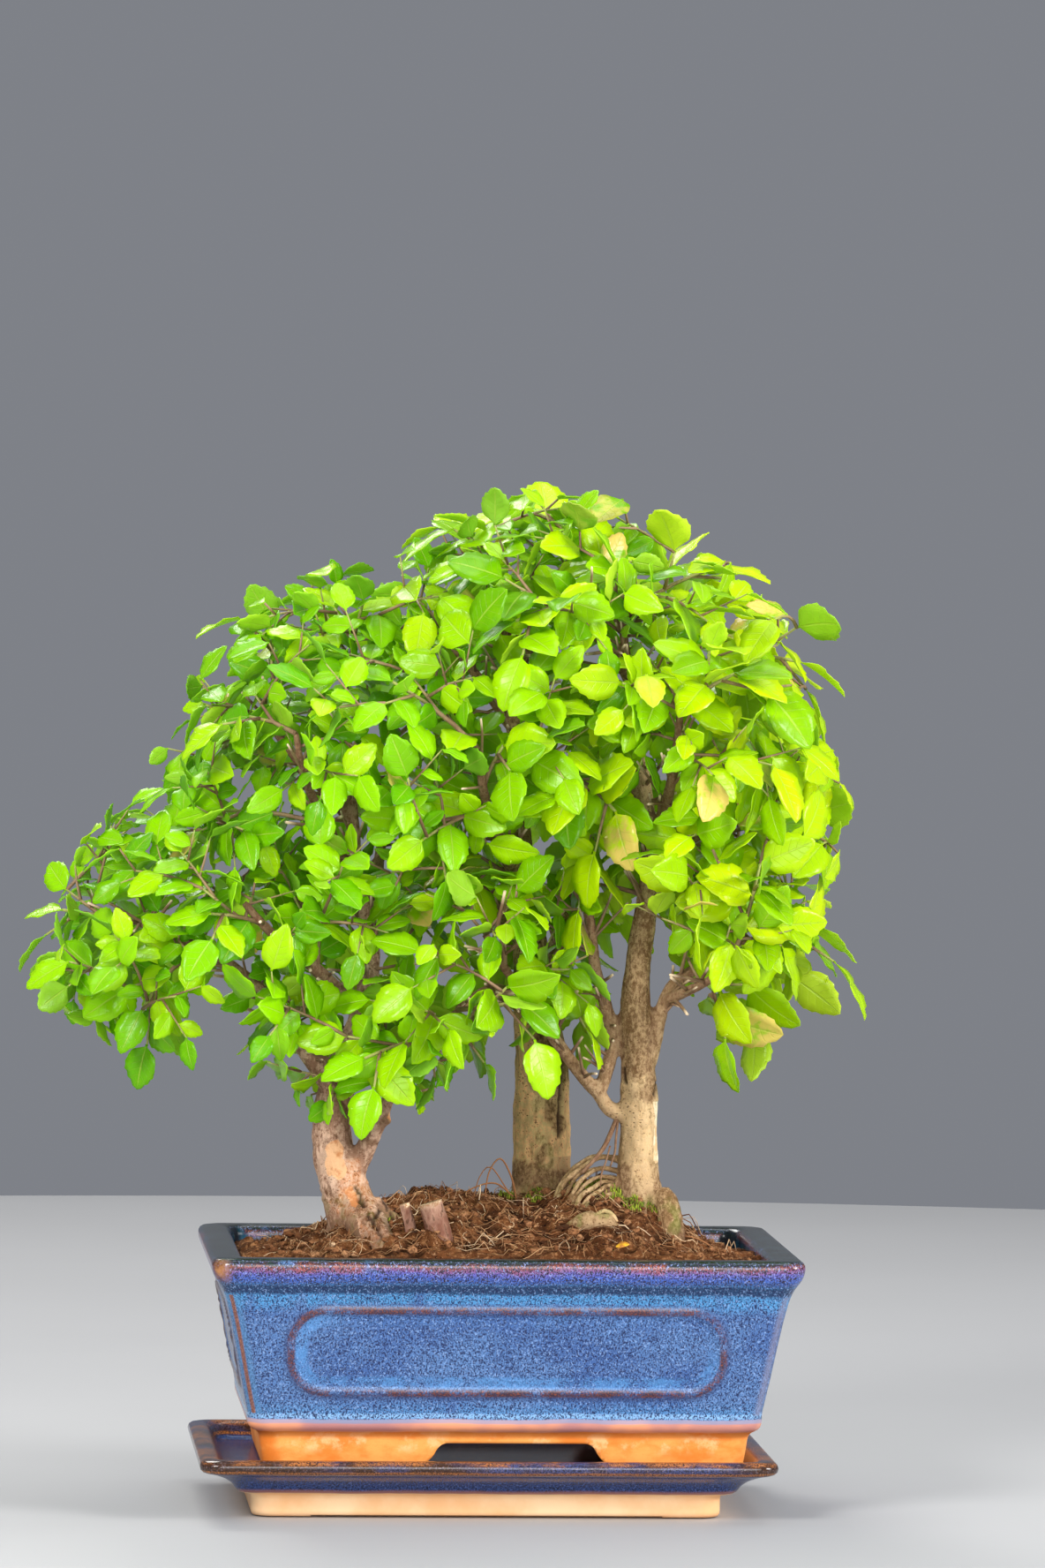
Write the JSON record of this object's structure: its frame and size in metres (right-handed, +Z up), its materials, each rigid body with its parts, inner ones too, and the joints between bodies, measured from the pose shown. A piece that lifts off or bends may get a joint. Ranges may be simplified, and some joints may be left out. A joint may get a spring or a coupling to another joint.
{
  "type": "potted forest bonsai",
  "caption": "Forest planting of small-leaved bonsai trees rising from a soil mound in a rectangular glazed pot that stands on its shallow matching tray.",
  "frame": {"origin": "centre of the tray's flat underside, on the surface that the tray stands on", "axes": "+X to the right along the pot's long side, +Y to the back, +Z up"},
  "size_m": [0.3776, 0.2373, 0.4552],
  "materials": {
    "tray_glaze": "gloss dark blue glaze with a brown lip over a bare pale clay foot",
    "pot_glaze": "gloss speckled blue glaze with brown edges over a bare orange clay foot",
    "screen": "matte black mesh",
    "bark_left": "flaking grey-pink bark with orange peeled patches",
    "bark_middle": "greenish tan bark with a brown knot",
    "bark_right": "pale tan bark with dark specks",
    "stump_wood": "grey bark with a pale sawn top",
    "soil": "crumbly brown fibrous peat",
    "leaves_left": "satin mid-green leaves on thin stems",
    "leaves_middle": "satin light green leaves on thin stems",
    "leaves_right": "satin yellow-green leaves on thin stems"
  },
  "bodies": {
    "root": {"tray": "tray_glaze", "pot": "pot_glaze", "drain_screen_left": "screen", "drain_screen_right": "screen", "trunk_left": "bark_left", "trunk_middle": "bark_middle", "trunk_right": "bark_right", "stump_large": "stump_wood", "stump_small": "stump_wood", "soil": "soil", "spray_left_01": "leaves_left", "spray_right_02": "leaves_right", "spray_middle_03": "leaves_middle", "spray_left_04": "leaves_left", "spray_right_05": "leaves_right", "spray_middle_06": "leaves_middle", "spray_middle_07": "leaves_middle", "spray_left_08": "leaves_left", "spray_right_09": "leaves_right", "spray_middle_10": "leaves_middle", "spray_left_12": "leaves_left", "spray_middle_13": "leaves_middle", "spray_right_14": "leaves_right", "spray_left_15": "leaves_left", "spray_left_16": "leaves_left", "spray_right_17": "leaves_right", "spray_left_18": "leaves_left", "spray_left_19": "leaves_left", "spray_right_20": "leaves_right", "spray_left_21": "leaves_left", "spray_left_22": "leaves_left", "spray_right_24": "leaves_right", "spray_right_25": "leaves_right", "spray_right_26": "leaves_right", "spray_middle_27": "leaves_middle", "spray_left_28": "leaves_left", "spray_right_29": "leaves_right", "spray_left_30": "leaves_left", "spray_right_31": "leaves_right", "spray_left_32": "leaves_left", "spray_left_33": "leaves_left", "spray_left_34": "leaves_left", "spray_right_35": "leaves_right", "spray_middle_36": "leaves_middle", "spray_left_37": "leaves_left", "spray_left_39": "leaves_left", "spray_middle_40": "leaves_middle", "spray_middle_41": "leaves_middle", "spray_middle_42": "leaves_middle", "spray_right_43": "leaves_right", "spray_left_44": "leaves_left", "spray_middle_45": "leaves_middle", "spray_left_46": "leaves_left", "spray_left_47": "leaves_left", "spray_middle_48": "leaves_middle"}
  },
  "joints": []
}
